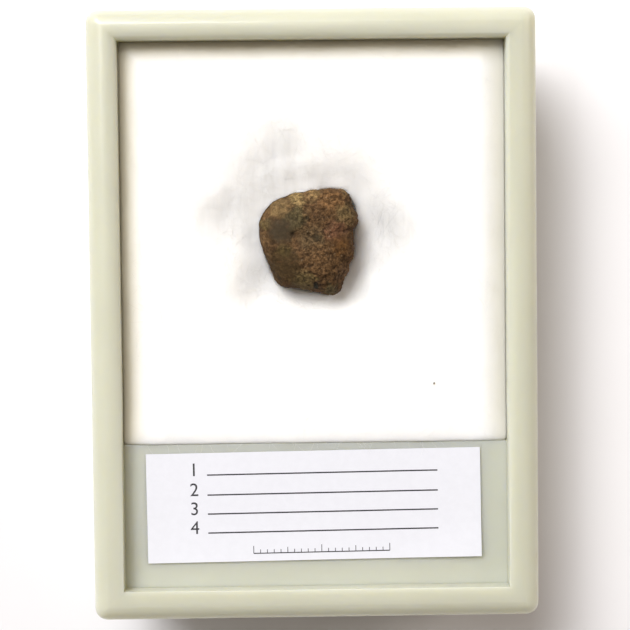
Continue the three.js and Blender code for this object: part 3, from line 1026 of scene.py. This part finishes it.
def add_ruling(settings, height):
    """Numbered writing lines and a small plain scale, printed on the label."""
    parts = []
    for number, level in enumerate(ROW_LEVELS, start=1):
        parts.append(figure(str(number), FIGURE_START, level))
        parts.append(bar((ROW_START + ROW_END) / 2, level + 0.1, ROW_END - ROW_START, 0.2))
    parts.append(bar(SCALE_START + SCALE_LENGTH / 2, SCALE_LEVEL, SCALE_LENGTH, 0.15))
    for tick in range(SCALE_LENGTH + 1):
        tall = 1.1 if tick % 10 == 0 else 0.85 if tick % 5 == 0 else 0.55
        parts.append(bar(SCALE_START + tick, SCALE_LEVEL + tall / 2, 0.1, tall, 0))
    select_only(parts[0])
    for part in parts:
        part.select_set(True)
    bpy.ops.object.join()
    ruling = bpy.context.object
    ruling.name = "label_ruling"
    lay_on_shelf(ruling, settings, height)
    return ruling


class SPECIMEN_OT_add_label(bpy.types.Operator):
    """Models the paper label and its generic ruling"""
    bl_idname = "specimen.add_label"
    bl_label = "Add Label"

    def execute(self, context):
        settings = context.scene.specimen_label
        select_only(None)
        paper = flat_sheet(0, 0, LABEL_SIZE.x, LABEL_SIZE.y, 40, settings.thickness)
        paper.name = "label_card"
        lay_on_shelf(paper, settings, LABEL_LOW.z)
        bpy.ops.object.shade_smooth_by_angle(angle=math.radians(40))
        finish_piece(paper, label_paper(tuple(settings.paper)), "label_paper", "paper_label")
        ruling = add_ruling(settings, LABEL_LOW.z + settings.thickness + INK_GAP)
        finish_piece(ruling, printed_ink(tuple(settings.ink)), "label_paper")
        return {"FINISHED"}


# The camera as the photograph has it: where it stands in metres, its turn in degrees, and the distance
# from lens to picture in pixels of a 630 pixel frame.
CAMERA_PLACE = (-0.00340, 0.01105, 0.26569)
CAMERA_TURN = (-2.546, -0.845, -0.640)
CAMERA_REACH_PX = 1704
FRAME_PX = 630
SENSOR = 36
# The lights: name, compass angle and slope in degrees, size in metres, power as a share of the key light's
# and tint. All of them look at the case from the same distance.
LIGHT_DISTANCE = 1.2
LIGHTS = [
    ("key", (126, 49), (0.70, 0.70), 1.0, (1, 1, 1)),
    ("left_band", (160, 24), (0.5, 0.3), 0.05, (1, 1, 1)),
    ("right_band", (24, 32), (0.45, 0.35), 0.18, (1.0, 0.9, 0.80)),
    ("left_strip", (182, 65), (0.45, 0.02), 0.015, (1, 1, 1)),
    ("far_strip", (94, 64), (0.26, 0.06), 0.030, (1, 1, 1)),
    ("right_lamp", (-25, 64), (0.08, 0.045), 0.014, (1, 1, 1)),
]


def area_light(name, direction, size, power, tint):
    """A soft light that looks at the case from a compass angle and a slope, in degrees."""
    azimuth, slope = (math.radians(angle) for angle in direction)
    level = math.cos(slope)
    away = Vector((level * math.cos(azimuth), level * math.sin(azimuth), math.sin(slope)))
    data = bpy.data.lights.new(name, "AREA")
    data.shape = "RECTANGLE"
    data.size, data.size_y = size
    data.energy = power
    data.color = tint
    light = linked(name, data)
    light.location = away * LIGHT_DISTANCE
    light.rotation_euler = away.to_track_quat("Z", "Y").to_euler()


class SPECIMEN_OT_add_studio(bpy.types.Operator):
    """Adds the camera, the pale floor and the soft lights"""
    bl_idname = "specimen.add_studio"
    bl_label = "Add Studio"

    def execute(self, context):
        settings = context.scene.specimen_studio
        scene = context.scene
        data = bpy.data.cameras.new("photo_camera")
        data.sensor_width = SENSOR
        data.lens = SENSOR * CAMERA_REACH_PX / FRAME_PX
        data.clip_start = 0.01
        camera = linked("photo_camera", data)
        camera.location = CAMERA_PLACE
        camera.rotation_euler = [math.radians(angle) for angle in CAMERA_TURN]
        scene.camera = camera

        select_only(None)
        bpy.ops.mesh.primitive_plane_add(size=3)
        floor = context.object
        floor.name = "studio_floor"
        finish = Finish("floor_paper", 0.9)
        tint = tuple(settings.backdrop)
        base = finish.mix(finish.range(finish.noise(60 * MM), 0.3, 0.7), scaled(tint, 0.985), tint)
        floor.data.materials.append(finish.set(Base_Color=base))

        for name, direction, size, share, tint in LIGHTS:
            area_light(name, direction, size, settings.key * share, tint)
        world = bpy.data.worlds.new("studio_sky")
        world.use_nodes = True
        sky = world.node_tree.nodes["Background"]
        sky.inputs["Color"].default_value = (1.0, 0.83, 0.67, 1.0)
        sky.inputs["Strength"].default_value = settings.sky
        scene.world = world
        scene.view_settings.view_transform = "Standard"
        scene.view_settings.look = "None"
        return {"FINISHED"}


class SPECIMEN_PT_panel(bpy.types.Panel):
    """Lists the specimen's pieces in the 3D view's sidebar"""
    bl_label = "Boxed Chondrite"
    bl_idname = "SPECIMEN_PT_panel"
    bl_space_type = "VIEW_3D"
    bl_region_type = "UI"
    bl_category = "Specimen"

    def draw(self, context):
        layout = self.layout
        for name, _, operator in GROUPS:
            box = layout.box()
            values = getattr(context.scene, name)
            for key in values.__annotations__:
                box.prop(values, key)
            box.operator(operator.bl_idname)


GROUPS = (
    ("specimen_studio", StudioSettings, SPECIMEN_OT_add_studio),
    ("specimen_case", CaseSettings, SPECIMEN_OT_add_case),
    ("specimen_stone", StoneSettings, SPECIMEN_OT_add_stone),
    ("specimen_cotton", CottonSettings, SPECIMEN_OT_add_wadding),
    ("specimen_label", LabelSettings, SPECIMEN_OT_add_label),
)
CLASSES = [item for _, *pair in GROUPS for item in pair] + [SPECIMEN_PT_panel]


def register():
    for item in CLASSES:
        bpy.utils.register_class(item)
    for name, group, _ in GROUPS:
        setattr(bpy.types.Scene, name, PointerProperty(type=group))


def unregister():
    for name, _, _ in GROUPS:
        delattr(bpy.types.Scene, name)
    for item in reversed(CLASSES):
        bpy.utils.unregister_class(item)


def main():
    register()
    bpy.ops.specimen.add_studio()
    bpy.ops.specimen.add_case()
    bpy.ops.specimen.add_stone()
    bpy.ops.specimen.add_wadding()
    bpy.ops.specimen.add_label()


if __name__ == "__main__":
    main()
